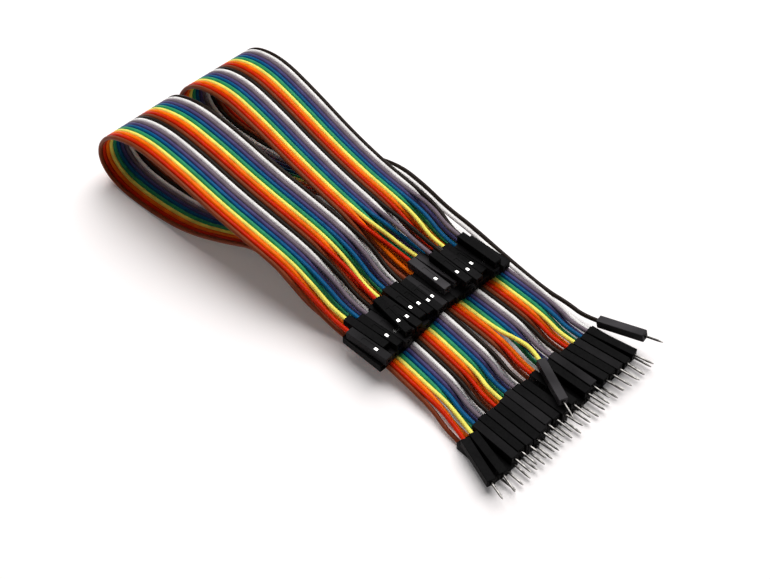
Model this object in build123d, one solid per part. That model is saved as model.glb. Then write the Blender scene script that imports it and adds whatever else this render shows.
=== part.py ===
from build123d import *
from math import radians, tan
import os

# A rainbow ribbon of forty jumper wires, peeled into two strips of twenty and folded over once.
# X runs along the ribbon from the fold to the pins, Y across it from the brown edge wire to the
# black one, and Z up from the table. Lengths are in millimetres and angles in degrees.

# Ribbon
WIRES_PER_STRIP = 20
WIRE_DIAMETER = 1.25
WIRE_PITCH = 1.27
PEEL_X = 42.6  # the wires part from their strip here, near the pins
STRIP_SHIFT = {-1: -0.22, 1: 1.73}  # how far each strip has slid sideways there
STRIP_SPLAY = {-1: 0.35, 1: 0.95}  # and how far it turns outwards from there to the fold

# Housings, crimped contacts and pins
HOUSING_LENGTH = 14.0
HOUSING_WIDTH = 2.45
HOUSING_CAVITY = 1.9
NOSE_WALL = 1.2
NOSE_HOLE = 0.9
WINDOW_LENGTH = 2.2
WINDOW_WIDTH = 1.2
WINDOW_FROM_NOSE = 4.5
CONTACT_CLEARANCE = 0.05
CONTACT_LENGTH = 6.0
SOCKET_WIDTH = 0.7
SOCKET_DEPTH = 5.5
CRIMP_WIDTH = 1.35
WIRE_DEPTH = 3.5  # how far a wire runs into its housing
PIN_WIDTH = 0.64
PIN_REACH = 5.4  # how far a pin stands out of its housing
PIN_TIP_LENGTH = 0.8
PIN_TIP_WIDTH = 0.25

# Rows of housings: two levels, ten columns to a strip
COLUMNS_PER_STRIP = WIRES_PER_STRIP // 2
LEVEL_CLEARANCE = 0.02
MALE_REAR_X = 59.7
MALE_CENTRE_Y = 0.6
MALE_PITCH = HOUSING_WIDTH + 0.17
MALE_STRIP_GAP = 1.2
MALE_FAN = 4.0  # the outermost columns turn outwards by this much
FEMALE_REAR_X = 14.6
FEMALE_CENTRE_Y = 0.63
FEMALE_PITCH = HOUSING_WIDTH + 0.05
FEMALE_STRIP_GAP = 0.5
FEMALE_FAN = 1.0

# The strip's side route, from where its wires part near the pins to where they part near the sockets
LOWER_LAYER_HEIGHT = 4.4
STRIP_ROUTE = [
    (PEEL_X, 3.1),
    (27.6, 4.2),
    (12.6, LOWER_LAYER_HEIGHT),
    (3.6, 6.4),
    (-4.4, 11.3),
    (-14.4, 16.4),
    (-28.4, 9.4),
    (-43.4, 3.4),
    (-58.4, 0.66),
    (-73.4, 0.64),
    (-79.85, 5.4),
    (-79.75, 12.8),
    (-73.8, 20.4),
    (-61.4, 23.9),
    (-46.4, 23.0),
    (-30.4, 20.0),
    (-16.4, 17.9),
    (-5.4, 15.4),
]
WIRE_LEAD = 4.0  # a wire lines up with its housing this far behind it
PEEL_LENGTH = 3.0  # a peeled wire still runs on in line with its strip for this long
TAIL_WIDTH = 1.1

# How far each column of housings has slid towards the pins, from the brown edge
FEMALE_SLIDE = [3.5, 3.0, 2.9, 2.9, 2.8, 2.5, 2.2, 2.0, 1.6, 1.2]
FEMALE_SLIDE += [0.8, 1.2, 1.6, 1.9, 2.0, 2.0, 2.2, 2.4, 2.6, 2.8]
MALE_SLIDE = [0.2, 0.6, 0.4, 0.0, 0.3, 0.5, 0.1, -0.6, -0.2, 0.4]
MALE_SLIDE += [0.0, 0.4, 0.2, -0.4, 0.1, -0.3, 0.3, 0.5, 0.2, 0.0]

# Housings that lie out of their row: wire number to how far forward, how many columns sideways,
# and its turn, its nose's lift and its roll in degrees. A quarter roll puts the window to one side.
MALE_STRAYS = {
    2: (1.6, -0.05, -16.0, 0.0, 0.0),
    4: (1.4, 0.0, -12.0, 0.0, 0.0),
    24: (-0.5, 0.25, -26.0, 0.0, 0.0),
    26: (0.0, 0.0, -0.8, 0.0, 0.0),
    28: (0.0, 0.06, -1.0, 0.0, 0.0),
    30: (0.8, 0.04, 3.0, 0.0, 0.0),
    32: (1.2, 0.05, 2.7, 0.0, 0.0),
    34: (0.8, 0.05, 2.5, 0.0, 0.0),
    36: (0.8, 0.1, 2.3, 0.0, 0.0),
    38: (0.8, 0.1, 6.0, 0.0, 0.0),
    40: (0.8, 0.95, 4.2, 14.0, 0.0),
}
FEMALE_STRAYS = {
    2: (1.0, 0.1, 3.2, 0.0, 0.0),
    4: (-2.0, 0.1, 3.2, 0.0, 90.0),
    6: (0.3, 0.12, 4.0, 0.0, 0.0),
    8: (0.9, 0.12, 4.0, 0.0, 0.0),
    10: (-0.2, 0.12, 4.0, 0.0, 90.0),
    12: (0.9, -0.4, -8.6, 0.0, 0.0),
    14: (0.2, -0.4, 1.2, 0.0, 0.0),
    16: (-1.1, -0.1, -1.0, 0.0, 0.0),
    18: (-0.2, -0.1, -1.0, 0.0, 0.0),
    20: (1.3, -0.1, -1.0, 0.0, 0.0),
    22: (-2.1, 1.58, -2.5, 0.0, 0.0),
    24: (-2.3, 1.6, 1.5, 0.0, 0.0),
    26: (-1.7, 1.6, 1.5, 0.0, 90.0),
    28: (0.7, 0.2, -3.0, 0.0, 0.0),
    30: (2.0, 0.2, -2.4, 0.0, 0.0),
    32: (-1.5, -0.39, 1.0, 0.0, 90.0),
    34: (-0.5, -0.39, 1.0, 0.0, 0.0),
    36: (1.5, -0.38, 1.5, 0.0, 0.0),
    38: (0.8, -0.7, -2.0, 0.0, 90.0),
    40: (1.6, -1.0, 0.5, 0.0, 90.0),
}
MALE_RIDERS = (24,)  # these lie on top of the upper level
FEMALE_RIDERS = (12, 28, 30, 38)

LEVEL_HEIGHT = HOUSING_WIDTH + LEVEL_CLEARANCE
FEMALE_BASE_Z = LOWER_LAYER_HEIGHT + WIRE_DIAMETER / 2 + 0.08
WIRES = range(1, 2 * WIRES_PER_STRIP + 1)


def strip_side(wire):
    """-1 for the front strip, which holds the first twenty wires, and +1 for the back one."""
    return -1 if wire <= WIRES_PER_STRIP else 1


def seat(wire, rear_x, centre_y, base_z, pitch, strip_gap, fan, slides, strays, riders):
    """The middle of a housing's rear face, with the housing running along the location's X."""
    column, level = (wire - 1) // 2, (wire - 1) % 2
    across = column - (COLUMNS_PER_STRIP - 0.5)
    forward, sideways, turn, lift, roll = strays.get(wire, (0.0, 0.0, 0.0, 0.0, 0.0))
    level += wire in riders
    x = rear_x + slides[column] + forward
    y = centre_y + (across + sideways) * pitch + strip_side(wire) * strip_gap / 2
    z = base_z + HOUSING_WIDTH / 2 + level * LEVEL_HEIGHT
    turn += fan * across / (COLUMNS_PER_STRIP - 0.5)
    return Pos(x, y, z) * Rot(0, 0, turn) * Rot(0, -lift, 0) * Rot(roll, 0, 0)


def male_seat(wire):
    rows = (MALE_REAR_X, MALE_CENTRE_Y, 0.0, MALE_PITCH, MALE_STRIP_GAP, MALE_FAN)
    return seat(wire, *rows, MALE_SLIDE, MALE_STRAYS, MALE_RIDERS)


def female_seat(wire):
    rows = (FEMALE_REAR_X, FEMALE_CENTRE_Y, FEMALE_BASE_Z, FEMALE_PITCH, FEMALE_STRIP_GAP, FEMALE_FAN)
    return seat(wire, *rows, FEMALE_SLIDE, FEMALE_STRAYS, FEMALE_RIDERS)


def beam(start, end, width):
    """A square bar along X about the housing's axis."""
    bar = Box(end - start, width, width, align=(Align.MIN, Align.CENTER, Align.CENTER))
    return Pos(start, 0, 0) * bar


def housing():
    """A moulded shell, open at the rear, with a hole in its nose and a latch window in its top."""
    shell = beam(0, HOUSING_LENGTH, HOUSING_WIDTH)
    shell -= beam(-1, HOUSING_LENGTH - NOSE_WALL, HOUSING_CAVITY)
    shell -= beam(0, HOUSING_LENGTH + 1, NOSE_HOLE)
    window = Box(WINDOW_LENGTH, WINDOW_WIDTH, HOUSING_WIDTH, align=(Align.CENTER, Align.CENTER, Align.MIN))
    return shell - Pos(HOUSING_LENGTH - WINDOW_FROM_NOSE, 0, 0) * window


def crimped_body():
    """What both contacts share: the crimp behind the wire's end and the box that fills the cavity."""
    nose = HOUSING_LENGTH - NOSE_WALL - CONTACT_CLEARANCE
    box = beam(nose - CONTACT_LENGTH, nose, HOUSING_CAVITY - 2 * CONTACT_CLEARANCE)
    return box + beam(WIRE_DEPTH, nose - CONTACT_LENGTH, CRIMP_WIDTH)


def socket_contact():
    """A box contact with a square socket behind the housing's nose hole."""
    nose = HOUSING_LENGTH - NOSE_WALL
    return crimped_body() - beam(nose - SOCKET_DEPTH, nose + 1, SOCKET_WIDTH)


def pin_contact():
    """A square pin with a pointed tip, crimped to the wire inside the housing."""
    tip_start = HOUSING_LENGTH + PIN_REACH - PIN_TIP_LENGTH
    low, high = (PIN_WIDTH - PIN_TIP_WIDTH) / 2, (PIN_WIDTH + PIN_TIP_WIDTH) / 2
    tip = Wedge(PIN_WIDTH, PIN_TIP_LENGTH, PIN_WIDTH, low, low, high, high)
    tip = Pos(tip_start + PIN_TIP_LENGTH / 2, 0, 0) * Rot(0, 0, -90) * tip
    shank = beam(HOUSING_LENGTH - NOSE_WALL - 1, tip_start, PIN_WIDTH)
    return crimped_body() + shank + tip


def corner_radii(points):
    """Each corner's arc, as large as its two runs allow."""
    radii = []
    for before, corner, after in zip(points, points[1:], points[2:]):
        half_turn = radians((corner - before).get_angle(after - corner)) / 2
        shorter = min((corner - before).length, (after - corner).length)
        radii.append(0.45 * shorter / tan(half_turn))
    return radii


def rounded_path(points):
    return FilletPolyline(*points, radius=corner_radii(points))


def strip_location(side):
    """A strip's own frame, with its plane of symmetry turned about its peeled end."""
    half_width = WIRES_PER_STRIP * WIRE_PITCH / 2
    hinge = Pos(PEEL_X, STRIP_SHIFT[side], 0) * Rot(0, 0, -side * STRIP_SPLAY[side])
    return hinge * Pos(-PEEL_X, side * half_width, 0)


def wire_offset(wire):
    """How far a wire lies from the middle of its strip."""
    place = (wire - 1) % WIRES_PER_STRIP
    return (place - (WIRES_PER_STRIP - 1) / 2) * WIRE_PITCH


def placed(location, x, y, z):
    return (location * Pos(x, y, z)).position


def shortened(end, neighbour):
    """Where the bond stops, just short of an end of the route."""
    return end + (neighbour - end).normalized() * PEEL_LENGTH


def tail_points(wire, route, house):
    """A peeled wire, from the end of the bond to the crimp inside its housing."""
    strip = strip_location(strip_side(wire))
    before, peel = [placed(strip, x, wire_offset(wire), z) for x, z in route[-2:]]
    lead, crimp = placed(house, -WIRE_LEAD, 0, 0), placed(house, WIRE_DEPTH, 0, 0)
    return [shortened(peel, before), peel, lead, crimp]


def tail(points):
    """A plain square length of wire."""
    start = Plane(origin=points[0], x_dir=(0, 1, 0), z_dir=points[1] - points[0])
    return sweep(start * Rectangle(TAIL_WIDTH, TAIL_WIDTH), path=rounded_path(points))


def band_points():
    points = [Vector(x, 0, z) for x, z in STRIP_ROUTE]
    return [shortened(points[0], points[1])] + points[1:-1] + [shortened(points[-1], points[-2])]


def strip(side):
    """Twenty bonded wires as one flat band, with a peeled tail for each wire at both ends."""
    points = band_points()
    start = Plane(origin=points[0], x_dir=(0, 1, 0), z_dir=points[1] - points[0])
    section = start * Rectangle((WIRES_PER_STRIP - 1) * WIRE_PITCH + WIRE_DIAMETER, WIRE_DIAMETER)
    band = strip_location(side) * sweep(section, path=rounded_path(points))
    tails = []
    for wire in WIRES:
        if strip_side(wire) == side:
            tails.append(tail(tail_points(wire, STRIP_ROUTE[::-1], male_seat(wire))))
            tails.append(tail(tail_points(wire, STRIP_ROUTE, female_seat(wire))))
    return band.fuse(*tails)


def group(piece, seats):
    """Copies of one piece, each at its own seat."""
    return Compound(children=[location * piece for location in seats])


def print_radii():
    print("band radii", [round(radius, 1) for radius in corner_radii(band_points())])
    tails = []
    for wire in WIRES:
        tails += corner_radii(tail_points(wire, STRIP_ROUTE[::-1], male_seat(wire)))
        tails += corner_radii(tail_points(wire, STRIP_ROUTE, female_seat(wire)))
    print("smallest tail radius", round(min(tails), 1))


def main():
    os.makedirs("parts", exist_ok=True)
    parts = {"front_strip": strip(-1), "back_strip": strip(1)}
    shell, socket, pin = housing(), socket_contact(), pin_contact()
    window_down = Rot(180, 0, 0)
    for first in range(1, 2 * WIRES_PER_STRIP, 10):
        wires = range(first, first + 10)
        name = f"{first:02d}_{first + 9:02d}"
        parts[f"socket_housings_{name}"] = group(shell, [female_seat(wire) for wire in wires])
        parts[f"socket_contacts_{name}"] = group(socket, [female_seat(wire) for wire in wires])
        parts[f"pin_housings_{name}"] = group(window_down * shell, [male_seat(wire) for wire in wires])
        parts[f"pin_contacts_{name}"] = group(pin, [male_seat(wire) for wire in wires])
    for node, shape in parts.items():
        export_step(shape, f"parts/{node}.step")
    print_radii()
    box = Compound(children=list(parts.values())).bounding_box()
    print("box", box.min, box.max)


main()
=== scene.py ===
import random
from math import cos, pi, radians, sin

import bmesh
import bpy
from mathutils import Matrix, Vector


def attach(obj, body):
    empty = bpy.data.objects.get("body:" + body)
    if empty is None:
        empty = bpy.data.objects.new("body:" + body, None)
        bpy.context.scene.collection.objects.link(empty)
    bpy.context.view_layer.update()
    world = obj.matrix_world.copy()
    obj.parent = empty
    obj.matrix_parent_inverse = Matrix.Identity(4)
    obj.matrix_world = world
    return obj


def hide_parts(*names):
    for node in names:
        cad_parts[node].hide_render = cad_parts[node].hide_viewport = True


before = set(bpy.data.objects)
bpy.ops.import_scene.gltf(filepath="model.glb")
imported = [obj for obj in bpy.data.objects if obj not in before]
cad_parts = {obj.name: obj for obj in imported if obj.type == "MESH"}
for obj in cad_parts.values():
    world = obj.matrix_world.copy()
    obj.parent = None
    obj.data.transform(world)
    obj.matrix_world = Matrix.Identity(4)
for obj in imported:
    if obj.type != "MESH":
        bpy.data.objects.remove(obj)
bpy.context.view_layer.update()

# ---- Wires ----------------------------------------------------------------------------------
# Forty stranded copper wires in soft PVC, ten colours four times over. They are extruded side by
# side as one bonded ribbon, torn into two strips of twenty, folded over once, and peeled into
# single wires for their last 20 mm at both ends.

MM = 0.001
WIRES_PER_STRIP = 20
WIRES = range(1, 2 * WIRES_PER_STRIP + 1)
WIRE_DIAMETER = 1.25
WIRE_PITCH = 1.27
WIRE_DEPTH = 3.5  # a wire runs this far into its housing
WIRE_LEAD = 4.0  # and lines up with it this far behind it

# Each strip, the front one (-1) and the back one (1), is shifted sideways where its wires peel
# apart near the pins, and turned there by a few tenths of a degree, away from the other one.
PEEL_X = 42.6
STRIP_SHIFT = {-1: -0.22, 1: 1.73}
STRIP_SPLAY = {-1: 0.35, 1: 0.95}

# Both follow one side route, from there, round the fold, to where their wires peel apart near the
# sockets. Each point is x and z, and then, for the front and the back strip, how far it sways
# sideways there and how far its brown and its black edge rise.
STRIP_ROUTE = [
    (PEEL_X, 3.1, (2.8, 0.0, 0.0), (1.8, 0.0, 0.0)),
    (27.6, 4.2, (4.0, 0.0, 0.0), (1.4, 0.0, 0.0)),
    (12.6, 4.4, (3.9, 0.0, 0.0), (1.4, 0.0, 0.0)),
    (3.6, 6.4, (2.8, 0.0, 0.0), (1.5, 0.0, -0.5)),
    (-4.4, 11.3, (2.4, 0.0, 0.0), (1.2, 0.0, -2.0)),
    (-14.4, 16.4, (2.0, 0.0, 0.0), (0.8, -0.3, -5.2)),
    (-28.4, 9.4, (0.9, 0.0, 0.0), (0.3, 0.0, -2.4)),
    (-43.4, 3.4, (0.0, 0.0, 0.0), (0.0, 0.0, 0.0)),
    (-58.4, 0.66, (0.0, 0.0, 0.0), (0.0, 0.0, 0.0)),
    (-73.4, 0.64, (0.0, 0.0, 0.0), (0.0, 0.0, 0.0)),
    (-79.85, 5.4, (0.0, 0.0, 0.0), (0.0, 0.0, 0.0)),
    (-79.75, 12.8, (0.0, 0.0, 0.0), (0.0, 0.0, 0.0)),
    (-73.8, 20.4, (0.2, 0.0, 0.0), (0.5, 0.0, 0.0)),
    (-61.4, 23.9, (0.4, 0.0, 0.0), (0.6, 0.0, -0.6)),
    (-46.4, 23.0, (0.1, 0.0, 0.0), (-0.3, -0.2, -2.5)),
    (-30.4, 20.0, (0.0, 0.0, 0.0), (-1.1, -0.4, -4.2)),
    (-16.4, 17.9, (0.4, -0.2, -0.2), (-1.8, -0.5, -4.6)),
    (-5.4, 15.4, (1.4, -0.8, -0.8), (-1.7, -0.3, -3.5)),
]

# Half way between a strip's end and the housings each column of two wires bows sideways, and at
# the sockets its upper wire stands off the lower one.
SOCKET_TAIL_BOWS = {
    -1: (0.0, 0.0, 0.2, 0.4, 0.6, 0.3, 0.4, 0.6, 0.9, 1.1),
    1: (-0.4, -0.2, 0.0, 0.2, 0.2, 0.4, 0.7, 1.0, 1.3, 1.3),
}
PIN_TAIL_BOWS = {-1: 0.6, 1: 0.5}
TAIL_PARTING = 1.0

# The last two wires have come off the back strip, where it runs under the other layer: how far
# each one stands out of it at the route's first points.
LOOSE_WIRES = {39: (-0.3, 0.6, 2.1, 1.4, 1.0, 0.7), 40: (-0.5, 0.6, 2.4, 1.7, 1.3, 1.1, 0.2)}

# At both ends the wires go into housings that lie in two levels, two to a column, ten columns to a
# strip. Odd wires take the lower level and even wires the upper one. The columns slide forward a
# little, each its own way, and fan out by a few degrees. Some housings have strayed from their
# column: wire number to how far forward, how many columns sideways, turn, lift and roll. The
# riders lie on top of their level.
HOUSING_WIDTH = 2.45
LEVEL_GAP = 0.02
LEVEL_HEIGHT = HOUSING_WIDTH + LEVEL_GAP
MIDDLE_COLUMN = WIRES_PER_STRIP / 2 - 0.5
PIN_ROWS = dict(rear_x=59.7, centre_y=0.6, base_z=0.0, pitch=2.62, strip_gap=1.2, fan=4.0)
PIN_ROWS["slides"] = [0.2, 0.6, 0.4, 0.0, 0.3, 0.5, 0.1, -0.6, -0.2, 0.4]
PIN_ROWS["slides"] += [0.0, 0.4, 0.2, -0.4, 0.1, -0.3, 0.3, 0.5, 0.2, 0.0]
PIN_ROWS["strays"] = {
    2: (1.6, -0.05, -16.0, 0.0, 0.0),
    4: (1.4, 0.0, -12.0, 0.0, 0.0),
    24: (-0.5, 0.25, -26.0, 0.0, 0.0),
    26: (0.0, 0.0, -0.8, 0.0, 0.0),
    28: (0.0, 0.06, -1.0, 0.0, 0.0),
    30: (0.8, 0.04, 3.0, 0.0, 0.0),
    32: (1.2, 0.05, 2.7, 0.0, 0.0),
    34: (0.8, 0.05, 2.5, 0.0, 0.0),
    36: (0.8, 0.1, 2.3, 0.0, 0.0),
    38: (0.8, 0.1, 6.0, 0.0, 0.0),
    40: (0.8, 0.95, 4.2, 14.0, 0.0),
}
PIN_ROWS["riders"] = (24,)
SOCKET_ROWS = dict(rear_x=14.6, centre_y=0.63, base_z=5.105, pitch=2.5, strip_gap=0.5, fan=1.0)
SOCKET_ROWS["slides"] = [3.5, 3.0, 2.9, 2.9, 2.8, 2.5, 2.2, 2.0, 1.6, 1.2]
SOCKET_ROWS["slides"] += [0.8, 1.2, 1.6, 1.9, 2.0, 2.0, 2.2, 2.4, 2.6, 2.8]
SOCKET_ROWS["strays"] = {
    2: (1.0, 0.1, 3.2, 0.0, 0.0),
    4: (-2.0, 0.1, 3.2, 0.0, 90.0),
    6: (0.3, 0.12, 4.0, 0.0, 0.0),
    8: (0.9, 0.12, 4.0, 0.0, 0.0),
    10: (-0.2, 0.12, 4.0, 0.0, 90.0),
    12: (0.9, -0.4, -8.6, 0.0, 0.0),
    14: (0.2, -0.4, 1.2, 0.0, 0.0),
    16: (-1.1, -0.1, -1.0, 0.0, 0.0),
    18: (-0.2, -0.1, -1.0, 0.0, 0.0),
    20: (1.3, -0.1, -1.0, 0.0, 0.0),
    22: (-2.1, 1.58, -2.5, 0.0, 0.0),
    24: (-2.3, 1.6, 1.5, 0.0, 0.0),
    26: (-1.7, 1.6, 1.5, 0.0, 90.0),
    28: (0.7, 0.2, -3.0, 0.0, 0.0),
    30: (2.0, 0.2, -2.4, 0.0, 0.0),
    32: (-1.5, -0.39, 1.0, 0.0, 90.0),
    34: (-0.5, -0.39, 1.0, 0.0, 0.0),
    36: (1.5, -0.38, 1.5, 0.0, 0.0),
    38: (0.8, -0.7, -2.0, 0.0, 90.0),
    40: (1.6, -1.0, 0.5, 0.0, 90.0),
}
SOCKET_ROWS["riders"] = (12, 28, 30, 38)

INSULATION = {
    "brown": (0.200, 0.041, 0.014),
    "red": (0.57, 0.018, 0.001),
    "orange": (0.94, 0.165, 0.002),
    "yellow": (0.93, 0.85, 0.145),
    "green": (0.030, 0.29, 0.135),
    "blue": (0.003, 0.090, 0.225),
    "violet": (0.068, 0.057, 0.162),
    "grey": (0.170, 0.131, 0.160),
    "white": (0.88, 0.85, 0.83),
    "black": (0.018, 0.012, 0.009),
}


def strip_side(wire):
    """-1 for the front strip, which holds the first twenty wires, and +1 for the back one."""
    return -1 if wire <= WIRES_PER_STRIP else 1


def seat(wire, rows):
    """The middle of a housing's rear face, in millimetres, with the housing running along its X."""
    column, level = (wire - 1) // 2, (wire - 1) % 2
    across = column - MIDDLE_COLUMN
    forward, sideways, turn, lift, roll = rows["strays"].get(wire, (0.0, 0.0, 0.0, 0.0, 0.0))
    level += wire in rows["riders"]
    x = rows["rear_x"] + rows["slides"][column] + forward
    y = rows["centre_y"] + (across + sideways) * rows["pitch"]
    y += strip_side(wire) * rows["strip_gap"] / 2
    z = rows["base_z"] + HOUSING_WIDTH / 2 + level * LEVEL_HEIGHT
    turn += rows["fan"] * across / MIDDLE_COLUMN
    place = Matrix.Translation((x, y, z))
    for angle, axis in ((turn, "Z"), (-lift, "Y"), (roll, "X")):
        place = place @ Matrix.Rotation(radians(angle), 4, axis)
    return place


def wire_route(wire):
    """From the crimp in the socket housing, round the fold, to the crimp in the pin housing."""
    side = strip_side(wire)
    place = (wire - 1) % WIRES_PER_STRIP
    across = side * WIRES_PER_STRIP * WIRE_PITCH / 2 + (place - MIDDLE_COLUMN) * WIRE_PITCH
    hinge = Matrix.Translation((PEEL_X, STRIP_SHIFT[side], 0))
    hinge = hinge @ Matrix.Rotation(radians(-side * STRIP_SPLAY[side]), 4, "Z")
    socket_end, pin_end = seat(wire, SOCKET_ROWS), seat(wire, PIN_ROWS)
    points = [socket_end @ Vector((WIRE_DEPTH, 0, 0)), socket_end @ Vector((-WIRE_LEAD, 0, 0))]
    apart = LOOSE_WIRES.get(wire, ()) + (0.0,) * len(STRIP_ROUTE)
    for (x, z, front, back), out in reversed(list(zip(STRIP_ROUTE, apart))):
        sway, brown_rise, black_rise = front if side < 0 else back
        rise = brown_rise + (black_rise - brown_rise) * place / (WIRES_PER_STRIP - 1)
        points.append(hinge @ Vector((x - PEEL_X, across + sway + out, z + rise)))
    points += [pin_end @ Vector((-WIRE_LEAD, 0, 0)), pin_end @ Vector((WIRE_DEPTH, 0, 0))]
    pin_bow = Vector((0, PIN_TAIL_BOWS[side], 0))
    socket_bow = Vector((0, SOCKET_TAIL_BOWS[side][place // 2], (place % 2 - 0.5) * TAIL_PARTING))
    for before, bow in ((-2, pin_bow), (2, socket_bow)):
        points.insert(before, (points[before - 1] + points[before]) / 2 + bow)
    return [point * MM for point in points]


def wire_curve(name, points, material):
    """A round wire on one smooth line, with the route's points as its control points."""
    curve = bpy.data.curves.new(name, "CURVE")
    curve.dimensions = "3D"
    spline = curve.splines.new("NURBS")
    spline.points.add(len(points) - 1)
    for control, point in zip(spline.points, points):
        control.co = (*point, 1.0)
    spline.order_u = 3
    spline.use_endpoint_u = True
    spline.resolution_u = 12
    spline.use_smooth = True
    curve.bevel_depth = WIRE_DIAMETER / 2 * MM
    curve.bevel_resolution = 4
    curve.use_fill_caps = True
    curve.materials.append(material)
    wire = bpy.data.objects.new(name, curve)
    bpy.context.collection.objects.link(wire)
    return wire


NOISE_SPAN = (0.3, 0.7)  # most of a noise texture's values lie in it
COAT_IOR = 1.2
COAT_ROUGHNESS = 0.2


def mottle_group():
    """Extrusion and moulding marks: fine grain in the gloss and a slow drift in the colour."""
    group = bpy.data.node_groups.new("mottle", "ShaderNodeTree")
    scales = ("Grain Scale", "Drift Scale")
    limits = ("Drift Low", "Drift High", "Rough Low", "Rough High")
    for name in scales + limits:
        group.interface.new_socket(name=name, in_out="INPUT", socket_type="NodeSocketFloat")
    for name in ("Drift", "Roughness", "Height"):
        group.interface.new_socket(name=name, in_out="OUTPUT", socket_type="NodeSocketFloat")
    nodes, links = group.nodes, group.links
    inputs, outputs = nodes.new("NodeGroupInput"), nodes.new("NodeGroupOutput")
    place = nodes.new("ShaderNodeTexCoord")
    grain, drift = nodes.new("ShaderNodeTexNoise"), nodes.new("ShaderNodeTexNoise")
    grain.inputs["Detail"].default_value = 3.0
    drift.inputs["Detail"].default_value = 1.0
    for texture, scale in zip((grain, drift), scales):
        links.new(place.outputs["Object"], texture.inputs["Vector"])
        links.new(inputs.outputs[scale], texture.inputs["Scale"])
    for texture, low, high, out in (
        (drift, "Drift Low", "Drift High", "Drift"),
        (grain, "Rough Low", "Rough High", "Roughness"),
    ):
        ranged = nodes.new("ShaderNodeMapRange")
        for end, value in zip(("From Min", "From Max"), NOISE_SPAN):
            ranged.inputs[end].default_value = value
        links.new(texture.outputs["Fac"], ranged.inputs["Value"])
        links.new(inputs.outputs[low], ranged.inputs["To Min"])
        links.new(inputs.outputs[high], ranged.inputs["To Max"])
        links.new(ranged.outputs["Result"], outputs.inputs[out])
    links.new(grain.outputs["Fac"], outputs.inputs["Height"])
    return group


MOTTLE = mottle_group()


def mottled_material(name, colour, bump, bump_mm, metallic=0, specular=0.5, coat=0, **mottle):
    """A Principled surface whose colour, gloss and height are varied by the mottle group."""
    material = bpy.data.materials.new(name)
    material.use_nodes = True
    nodes, links = material.node_tree.nodes, material.node_tree.links
    shader = nodes["Principled BSDF"]
    shader.inputs["Metallic"].default_value = metallic
    shader.inputs["Specular IOR Level"].default_value = specular
    shader.inputs["Coat Weight"].default_value = coat
    shader.inputs["Coat IOR"].default_value = COAT_IOR
    shader.inputs["Coat Roughness"].default_value = COAT_ROUGHNESS
    group = nodes.new("ShaderNodeGroup")
    group.node_tree = MOTTLE
    for socket, value in mottle.items():
        group.inputs[socket.replace("_", " ").title()].default_value = value
    tint = nodes.new("ShaderNodeMix")
    tint.name = "tint"
    tint.data_type = "RGBA"
    tint.blend_type = "MULTIPLY"
    tint.inputs["Factor"].default_value = 1.0
    tint.inputs["A"].default_value = (*colour, 1.0)
    links.new(group.outputs["Drift"], tint.inputs["B"])
    links.new(tint.outputs["Result"], shader.inputs["Base Color"])
    links.new(group.outputs["Roughness"], shader.inputs["Roughness"])
    relief = nodes.new("ShaderNodeBump")
    relief.inputs["Strength"].default_value = bump
    relief.inputs["Distance"].default_value = bump_mm * MM
    links.new(group.outputs["Height"], relief.inputs["Height"])
    links.new(relief.outputs["Normal"], shader.inputs["Normal"])
    return material


for wire in WIRES:
    colour = list(INSULATION)[(wire - 1) % len(INSULATION)]
    pvc = bpy.data.materials.get(f"pvc_{colour}") or mottled_material(
        f"pvc_{colour}",
        INSULATION[colour],
        specular=0.02,
        coat=0.4,
        bump=0.25,
        bump_mm=0.02,
        grain_scale=2600.0,
        drift_scale=260.0,
        drift_low=0.88,
        drift_high=1.08,
        rough_low=0.36,
        rough_high=0.52,
    )
    route = wire_route(wire)
    cord = wire_curve(f"wire_{wire:02d}_{colour}", route, pvc)
    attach(cord, "root")
    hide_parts("front_strip" if strip_side(wire) < 0 else "back_strip")

# ---- Socket contacts ------------------------------------------------------------------------
# Stamped and rolled bronze, tin plated, crimped to each wire's bare end. Only a bright patch of
# each one shows, in the latch window of its housing.

TIN = mottled_material(
    "bright_tin",
    (0.72, 0.71, 0.69),
    metallic=1.0,
    bump=0.3,
    bump_mm=0.01,
    grain_scale=4000.0,
    drift_scale=500.0,
    drift_low=0.85,
    drift_high=1.05,
    rough_low=0.18,
    rough_high=0.32,
)
TENS = [range(first, first + 10) for first in range(1, 2 * WIRES_PER_STRIP, 10)]
for wires in TENS:
    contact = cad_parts[f"socket_contacts_{wires[0]:02d}_{wires[-1]:02d}"]
    contact.data.materials.clear()
    contact.data.materials.append(TIN)

# ---- Housings -------------------------------------------------------------------------------
# Forty single housings at each end, moulded in black nylon, open at the rear for the crimped wire,
# with a hole in the nose. A springy tongue in one face locks behind the contact, whose plating
# shows in the small window in front of it. The pin housings lie with the tongue down.

HOUSING_LENGTH = 14.0
CAVITY = 1.9
NOSE_WALL = 1.2
NOSE_HOLE = 0.9
NOSE_OVERLAP = 0.5  # a piece in the nose hole starts this far inside the cavity
WINDOW_LENGTH = 1.3
WINDOW_WIDTH = 1.1
WINDOW_FROM_NOSE = 4.5
TONGUE_LENGTH = 4.2
TONGUE_DROP = 0.12
TONGUE_OVERLAP = 0.1  # into the window
EDGE_ROUND = 0.13
OVERCUT = 1.0  # a cutter runs this far past the face that it opens


def block(name, start, end, width, height, middle_z=0.0):
    """A bar along X, in millimetres, as a new object."""
    mesh = bpy.data.meshes.new(name)
    shape = bmesh.new()
    bmesh.ops.create_cube(shape, size=1.0)
    size = Matrix.Diagonal((end - start, width, height, 1.0))
    shape.transform(Matrix.Translation(((start + end) / 2, 0, middle_z)) @ size)
    shape.to_mesh(mesh)
    shape.free()
    obj = bpy.data.objects.new(name, mesh)
    bpy.context.collection.objects.link(obj)
    return obj


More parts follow.
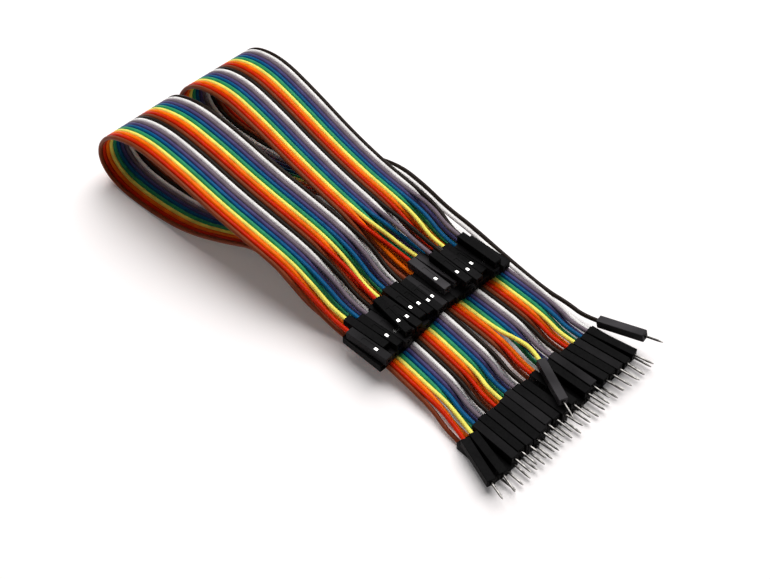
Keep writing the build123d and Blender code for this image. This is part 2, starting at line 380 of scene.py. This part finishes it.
def apply_modifiers(obj):
    """Bakes the object's modifiers into a plain mesh."""
    graph = bpy.context.evaluated_depsgraph_get()
    graph.update()
    mesh = bpy.data.meshes.new_from_object(obj.evaluated_get(graph))
    mesh.name = obj.name
    obj.modifiers.clear()
    obj.data = mesh


def housing_shell():
    """One moulding, with its edges rounded before its openings are cut."""
    half, rear_of_nose = HOUSING_WIDTH / 2, HOUSING_LENGTH - NOSE_WALL
    window_rear = HOUSING_LENGTH - WINDOW_FROM_NOSE - WINDOW_LENGTH / 2
    shell = block("housing_shell", 0, HOUSING_LENGTH, HOUSING_WIDTH, HOUSING_WIDTH)
    bevel = shell.modifiers.new("edges", "BEVEL")
    bevel.width = EDGE_ROUND
    bevel.segments = 2
    nose_start, nose_end = rear_of_nose - NOSE_OVERLAP, HOUSING_LENGTH + OVERCUT
    tongue_start, tongue_end = window_rear - TONGUE_LENGTH, window_rear + TONGUE_OVERLAP
    cutters = [
        block("cavity", -OVERCUT, rear_of_nose, CAVITY, CAVITY),
        block("nose_hole", nose_start, nose_end, NOSE_HOLE, NOSE_HOLE),
        block("window", window_rear, window_rear + WINDOW_LENGTH, WINDOW_WIDTH, OVERCUT * 2, half),
        block("tongue", tongue_start, tongue_end, WINDOW_WIDTH, TONGUE_DROP * 2, half),
    ]
    for cutter in cutters:
        opening = shell.modifiers.new(cutter.name, "BOOLEAN")
        opening.object = cutter
        opening.solver = "EXACT"
    apply_modifiers(shell)
    for cutter in cutters:
        bpy.data.objects.remove(cutter)
    return shell


# Painted sheen: shades of the material's colour, from a random number to this power, so that most
# are dark and a few lighter grey, standing in for the reflections on tilted tops.
PAINTED_SHEEN_POWER = 3.0
DARKEST_PAINTED_SHEEN = 0.4
LIGHTEST_PAINTED_SHEEN = 9.0


def copies_tree():
    """Geometry Nodes: a copy of the piece at each point, turned as it says, in its own shade of
    painted sheen.
    """
    tree = bpy.data.node_groups.new("copies_at_seats", "GeometryNodeTree")
    for name, kind in (
        ("Geometry", "NodeSocketGeometry"),
        ("Piece", "NodeSocketObject"),
        ("Material", "NodeSocketMaterial"),
        ("Darkest", "NodeSocketFloat"),
        ("Lightest", "NodeSocketFloat"),
        ("Seed", "NodeSocketInt"),
    ):
        tree.interface.new_socket(name=name, in_out="INPUT", socket_type=kind)
    tree.interface.new_socket(name="Geometry", in_out="OUTPUT", socket_type="NodeSocketGeometry")
    nodes, links = tree.nodes, tree.links
    inputs, outputs = nodes.new("NodeGroupInput"), nodes.new("NodeGroupOutput")
    chance = nodes.new("FunctionNodeRandomValue")
    chance.data_type = "FLOAT"
    links.new(inputs.outputs["Seed"], chance.inputs["Seed"])
    mostly_dark = nodes.new("ShaderNodeMath")
    mostly_dark.operation = "POWER"
    mostly_dark.inputs[1].default_value = PAINTED_SHEEN_POWER
    links.new(chance.outputs[1], mostly_dark.inputs[0])
    painted_sheen = nodes.new("ShaderNodeMapRange")
    links.new(mostly_dark.outputs["Value"], painted_sheen.inputs["Value"])
    links.new(inputs.outputs["Darkest"], painted_sheen.inputs["To Min"])
    links.new(inputs.outputs["Lightest"], painted_sheen.inputs["To Max"])
    sheen_store = nodes.new("GeometryNodeStoreNamedAttribute")
    sheen_store.data_type = "FLOAT"
    sheen_store.domain = "POINT"
    sheen_store.inputs["Name"].default_value = "painted_sheen"
    links.new(inputs.outputs["Geometry"], sheen_store.inputs["Geometry"])
    links.new(painted_sheen.outputs["Result"], sheen_store.inputs["Value"])
    piece = nodes.new("GeometryNodeObjectInfo")
    links.new(inputs.outputs["Piece"], piece.inputs["Object"])
    turn = nodes.new("GeometryNodeInputNamedAttribute")
    turn.data_type = "FLOAT_VECTOR"
    turn.inputs["Name"].default_value = "turn"
    place = nodes.new("GeometryNodeInstanceOnPoints")
    links.new(sheen_store.outputs["Geometry"], place.inputs["Points"])
    links.new(piece.outputs["Geometry"], place.inputs["Instance"])
    links.new(turn.outputs["Attribute"], place.inputs["Rotation"])
    real = nodes.new("GeometryNodeRealizeInstances")
    links.new(place.outputs["Instances"], real.inputs["Geometry"])
    finish = nodes.new("GeometryNodeSetMaterial")
    links.new(real.outputs["Geometry"], finish.inputs["Geometry"])
    links.new(inputs.outputs["Material"], finish.inputs["Material"])
    links.new(finish.outputs["Geometry"], outputs.inputs["Geometry"])
    return tree


COPIES = copies_tree()


def copies_at_seats(name, piece, seats, material, seed):
    """One mesh with a copy of the piece, modelled in millimetres, at each seat."""
    mesh = bpy.data.meshes.new(name)
    mesh.from_pydata([place.translation for place in seats], [], [])
    turns = mesh.attributes.new("turn", "FLOAT_VECTOR", "POINT")
    for value, place in zip(turns.data, seats):
        value.vector = place.to_euler()
    row = bpy.data.objects.new(name, mesh)
    bpy.context.collection.objects.link(row)
    copies = row.modifiers.new("copies", "NODES")
    copies.node_group = COPIES
    values = {"Piece": piece, "Material": material, "Seed": seed}
    values |= {"Darkest": DARKEST_PAINTED_SHEEN, "Lightest": LIGHTEST_PAINTED_SHEEN}
    for item in COPIES.interface.items_tree:
        if item.in_out == "INPUT" and item.name in values:
            copies[item.identifier] = values[item.name]
    apply_modifiers(row)
    row.data.attributes.remove(row.data.attributes["turn"])
    row.data.transform(Matrix.Scale(MM, 4))
    return row


NYLON = mottled_material(
    "black_nylon",
    (0.0050, 0.0047, 0.0050),
    specular=0.02,
    bump=0.35,
    bump_mm=0.03,
    grain_scale=1500.0,
    drift_scale=120.0,
    drift_low=0.7,
    drift_high=1.4,
    rough_low=0.30,
    rough_high=0.46,
)
# Painted sheen: each housing's colour is multiplied by its stored shade, so a few look greyer, as
# if their tilted tops reflected light.
nylon_nodes, nylon_links = NYLON.node_tree.nodes, NYLON.node_tree.links
nylon_painted_sheen = nylon_nodes.new("ShaderNodeAttribute")
nylon_painted_sheen.attribute_name = "painted_sheen"
nylon_tint = nylon_nodes.new("ShaderNodeMix")
nylon_tint.data_type = "RGBA"
nylon_tint.blend_type = "MULTIPLY"
nylon_tint.inputs["Factor"].default_value = 1.0
nylon_links.new(nylon_nodes["tint"].outputs["Result"], nylon_tint.inputs["A"])
nylon_links.new(nylon_painted_sheen.outputs["Fac"], nylon_tint.inputs["B"])
nylon_links.new(nylon_tint.outputs["Result"], nylon_nodes["Principled BSDF"].inputs["Base Color"])

# One seed for each ten housings. They leave most of them dark and make a few greyer with painted
# sheen, standing in for reflections on tilted tops, mainly ones that have strayed.
PAINTED_SHEEN_SEEDS = {"socket_housings": (57, 75, 164, 94), "pin_housings": (213, 246, 52, 425)}

shell = housing_shell()
for ten, wires in enumerate(TENS):
    span = f"{wires[0]:02d}_{wires[-1]:02d}"
    for kind, rows, roll in (("socket_housings", SOCKET_ROWS, 0.0), ("pin_housings", PIN_ROWS, pi)):
        seats = [seat(wire, rows) @ Matrix.Rotation(roll, 4, "X") for wire in wires]
        seed = PAINTED_SHEEN_SEEDS[kind][ten]
        row = copies_at_seats(f"moulded_{kind}_{span}", shell, seats, NYLON, seed)
        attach(row, "root")
        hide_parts(f"{kind}_{span}")
bpy.data.objects.remove(shell)

# ---- Pin contacts ---------------------------------------------------------------------------
# Tin plated pins, square with broken edges and a blunt tapered tip, each crimped to its wire's
# bare end inside the housing. Handling has bent the pins a little, each its own way.

CONTACT_GAP = 0.05  # all round, inside the housing
CONTACT_BODY_LENGTH = 6.0
CRIMP_WIDTH = 1.35
PIN_WIDTH = 0.58
PIN_EDGE = 0.15
PIN_REACH = 5.4
PIN_TAPER = ((0.0, 1.0), (0.74, 0.96), (0.9, 0.75), (1.0, 0.4))  # along its reach, width there
PIN_BEND = 3.0


def pin_shank(name):
    """One pin along X, in millimetres, from inside the nose to its tip."""
    half, cut = PIN_WIDTH / 2, PIN_WIDTH / 2 - PIN_EDGE
    ring = [(half, -cut), (half, cut), (cut, half), (-cut, half)]
    ring += [(-y, -z) for y, z in ring]
    stations = [(HOUSING_LENGTH - NOSE_WALL - NOSE_OVERLAP, 1.0)]
    stations += [(HOUSING_LENGTH + along * PIN_REACH, width) for along, width in PIN_TAPER]
    shape = bmesh.new()
    rings = [[shape.verts.new((x, y * width, z * width)) for y, z in ring] for x, width in stations]
    for near, far in zip(rings, rings[1:]):
        for i in range(len(ring)):
            shape.faces.new((near[i - 1], near[i], far[i], far[i - 1]))
    shape.faces.new(rings[0][::-1])
    shape.faces.new(rings[-1])
    bmesh.ops.recalc_face_normals(shape, faces=shape.faces)
    mesh = bpy.data.meshes.new(name)
    shape.to_mesh(mesh)
    shape.free()
    shank = bpy.data.objects.new(name, mesh)
    bpy.context.collection.objects.link(shank)
    return shank


# Painted shade: the pins' tin is coloured dark, standing in for the dark surroundings that bright
# tin would reflect.
PIN_TIN_PAINTED_DARK = mottled_material(
    "worn_tin",
    (0.20, 0.19, 0.18),
    metallic=1.0,
    bump=0.4,
    bump_mm=0.02,
    grain_scale=3000.0,
    drift_scale=700.0,
    drift_low=0.3,
    drift_high=1.5,
    rough_low=0.22,
    rough_high=0.38,
)
body_front = HOUSING_LENGTH - NOSE_WALL - CONTACT_GAP
body_rear = body_front - CONTACT_BODY_LENGTH
body_width = CAVITY - 2 * CONTACT_GAP
pieces = {
    "pins": pin_shank("pin"),
    "pin_bodies": block("pin_body", body_rear, body_front, body_width, body_width),
    "pin_crimps": block("pin_crimp", WIRE_DEPTH, body_rear, CRIMP_WIDTH, CRIMP_WIDTH),
}
bends = random.Random(8)


def bent(place):
    """The same seat, turned a little about the middle of its nose, at random."""
    place = place @ Matrix.Translation((HOUSING_LENGTH, 0, 0))
    for axis in "YZ":
        place = place @ Matrix.Rotation(radians(bends.uniform(-PIN_BEND, PIN_BEND)), 4, axis)
    return place @ Matrix.Translation((-HOUSING_LENGTH, 0, 0))


for wires in TENS:
    span = f"{wires[0]:02d}_{wires[-1]:02d}"
    for name, piece in pieces.items():
        seats = [seat(wire, PIN_ROWS) for wire in wires]
        if name == "pins":
            seats = [bent(place) for place in seats]
        row = copies_at_seats(f"{name}_{span}", piece, seats, PIN_TIN_PAINTED_DARK, wires[0])
        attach(row, "root")
        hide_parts(f"pin_contacts_{span}")
for piece in pieces.values():
    bpy.data.objects.remove(piece)

# ---- Table, light and camera ----------------------------------------------------------------
# A plain white table under a dim even sky, with one broad lamp behind and above the black edge
# wire and a weak one in front.

FLOOR_SIZE = 6.0
FLOOR_LIFT = 0.08  # the camera sees the table this much whiter than its light makes it
SKY_STRENGTH = 0.08
corner = FLOOR_SIZE / 2
floor_mesh = bpy.data.meshes.new("floor")
floor_mesh.from_pydata(
    [(-corner, -corner, 0), (corner, -corner, 0), (corner, corner, 0), (-corner, corner, 0)],
    [],
    [(0, 1, 2, 3)],
)
floor = bpy.data.objects.new("floor", floor_mesh)
bpy.context.collection.objects.link(floor)
paper = bpy.data.materials.new("white_paper")
paper.use_nodes = True
paper_shader = paper.node_tree.nodes["Principled BSDF"]
paper_shader.inputs["Base Color"].default_value = (0.97, 0.93, 0.925, 1.0)
paper_shader.inputs["Roughness"].default_value = 0.9
paper_shader.inputs["Specular IOR Level"].default_value = 0.0
paper_shader.inputs["Emission Color"].default_value = (1.0, 1.0, 1.0, 1.0)
paper_nodes, paper_links = paper.node_tree.nodes, paper.node_tree.links
seen = paper_nodes.new("ShaderNodeLightPath")
lift = paper_nodes.new("ShaderNodeMath")
lift.operation = "MULTIPLY"
lift.inputs[1].default_value = FLOOR_LIFT
paper_links.new(seen.outputs["Is Camera Ray"], lift.inputs[0])
paper_links.new(lift.outputs["Value"], paper_shader.inputs["Emission Strength"])
floor_mesh.materials.append(paper)

world = bpy.data.worlds.new("sky")
bpy.context.scene.world = world
world.use_nodes = True
sky = world.node_tree.nodes["Background"]
sky.inputs["Color"].default_value = (1.0, 0.98, 1.0, 1.0)
sky.inputs["Strength"].default_value = SKY_STRENGTH


def area_lamp(name, place, size, power):
    """A round lamp that faces the origin."""
    data = bpy.data.lights.new(name, "AREA")
    data.shape = "DISK"
    data.size = size
    data.energy = power
    lamp = bpy.data.objects.new(name, data)
    lamp.location = place
    lamp.rotation_euler = (-Vector(place)).to_track_quat("-Z", "Y").to_euler()
    bpy.context.collection.objects.link(lamp)


area_lamp("key", (-0.22, 0.42, 1.02), 1.3, 18.5)
area_lamp("fill", (0.5, -0.7, 0.9), 0.9, 0.5)

CAMERA_TARGET = Vector((9.7, -0.27, 0.0)) * MM
CAMERA_AZIMUTH = radians(44.6)
CAMERA_ELEVATION = radians(47.9)
CAMERA_ROLL = radians(0.32)
CAMERA_DISTANCE = 422.7 * MM
CAMERA_LENS = 72.5
CAMERA_SENSOR = 36.0
toward_camera = Vector(
    (
        sin(CAMERA_AZIMUTH) * cos(CAMERA_ELEVATION),
        -cos(CAMERA_AZIMUTH) * cos(CAMERA_ELEVATION),
        sin(CAMERA_ELEVATION),
    )
)
camera_data = bpy.data.cameras.new("camera")
camera_data.sensor_width = CAMERA_SENSOR
camera_data.lens = CAMERA_LENS
camera_data.clip_start = 0.01
camera = bpy.data.objects.new("camera", camera_data)
aim = (-toward_camera).to_track_quat("-Z", "Y").to_matrix().to_4x4()
turned = aim @ Matrix.Rotation(-CAMERA_ROLL, 4, "Z")
camera.matrix_world = Matrix.Translation(CAMERA_TARGET + toward_camera * CAMERA_DISTANCE) @ turned
bpy.context.collection.objects.link(camera)
bpy.context.scene.camera = camera
bpy.context.scene.view_settings.view_transform = "Standard"
